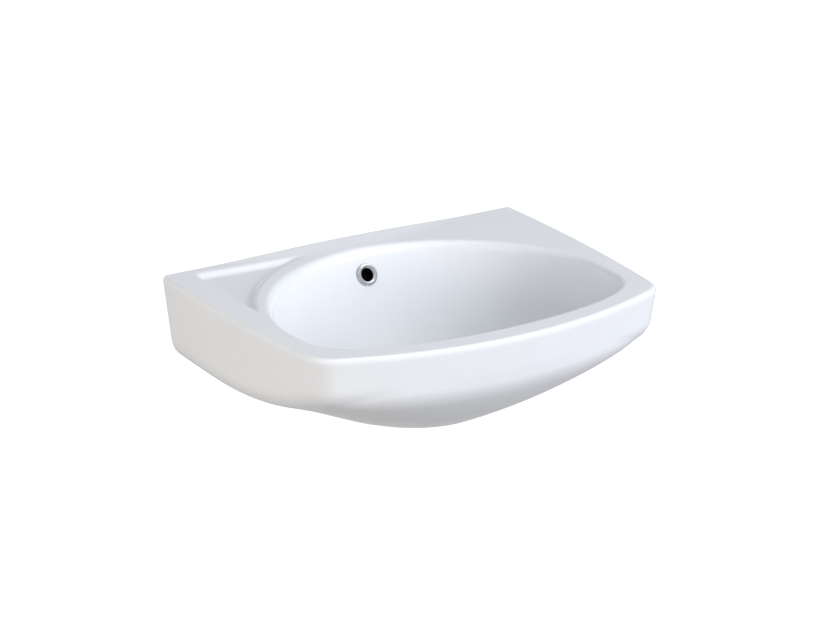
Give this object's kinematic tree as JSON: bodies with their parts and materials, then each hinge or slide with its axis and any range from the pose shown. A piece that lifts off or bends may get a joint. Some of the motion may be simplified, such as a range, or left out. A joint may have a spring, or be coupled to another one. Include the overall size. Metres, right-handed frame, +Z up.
{
  "type": "wall hung basin",
  "caption": "Wall hung ceramic basin with a rounded bowl, soap recess in the rear left corner, overflow with chrome ring, push-open waste and wall fixings.",
  "frame": {"origin": "on the wall plane, midway between the two fixing studs", "axes": "+X along the wall towards the right seen from the room, +Y into the wall, -Y into the room, +Z up"},
  "size_m": [0.5592, 0.5023, 0.2035],
  "materials": {
    "glaze": "high gloss white glaze",
    "chrome": "polished chrome plate",
    "rubber": "matt black rubber",
    "washer_plastic": "plain moulded white",
    "brass": "machined brass",
    "grey_plastic": "plain moulded grey",
    "stainless": "turned stainless steel",
    "zinc": "bright zinc plate"
  },
  "bodies": {
    "basin": {"ceramic_basin": "glaze", "overflow_ring": "chrome", "waste_body": "chrome", "waste_upper_seal": "rubber", "waste_lower_gasket": "rubber", "waste_slip_washer": "washer_plastic", "waste_back_nut": "brass", "plug_cartridge": "grey_plastic", "hanger_bolts": "zinc", "fixing_bushes": "washer_plastic", "fixing_washers": "zinc", "fixing_nuts": "zinc", "nut_caps": "washer_plastic"},
    "plug": {"plug_cap": "chrome", "plug_seal": "rubber", "plug_spindle": "stainless"}
  },
  "joints": [
    {"name": "plug_lift", "type": "slide", "parent": "basin", "child": "plug", "axis": [0, 0, 1], "range_m": [0, 0.008]}
  ]
}
